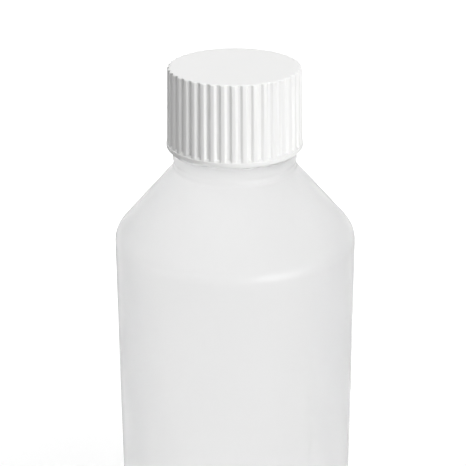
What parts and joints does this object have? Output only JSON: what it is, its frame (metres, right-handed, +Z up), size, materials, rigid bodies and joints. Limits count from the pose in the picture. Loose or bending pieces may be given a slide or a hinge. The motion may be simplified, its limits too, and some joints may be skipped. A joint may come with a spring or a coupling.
{
  "type": "plastic bottle",
  "caption": "Round translucent plastic bottle with a straight conical shoulder and a white ribbed screw cap that unscrews from a threaded neck.",
  "frame": {"origin": "centre of the ring that the bottle stands on, at the surface under it", "axes": "+Z up along the bottle's axis, through the neck and cap; -Y towards the viewer of the picture"},
  "size_m": [0.056, 0.056, 0.1476],
  "materials": {
    "natural_polyethylene": "blow-moulded natural polyethylene, milky and translucent, satin",
    "white_polypropylene": "injection-moulded white polypropylene, opaque, satin",
    "foam_liner": "die-cut white polyethylene foam, matt"
  },
  "bodies": {
    "bottle": {"bottle": "natural_polyethylene"},
    "liner": {"liner": "foam_liner"},
    "cap": {"cap": "white_polypropylene"}
  },
  "joints": [
    {"name": "cap_lift", "type": "slide", "parent": "bottle", "child": "liner", "axis": [0, 0, 1], "range_m": [0, 0.01694]},
    {"name": "cap_turn", "type": "hinge", "parent": "liner", "child": "cap", "pos_m": [0, 0, 0.14519], "axis": [0, 0, 1], "range_deg": [0, 1440]}
  ],
  "couplings": [
    {"joint": "cap_lift", "follows": "cap_turn", "m_per_rad": 0.00067376}
  ]
}
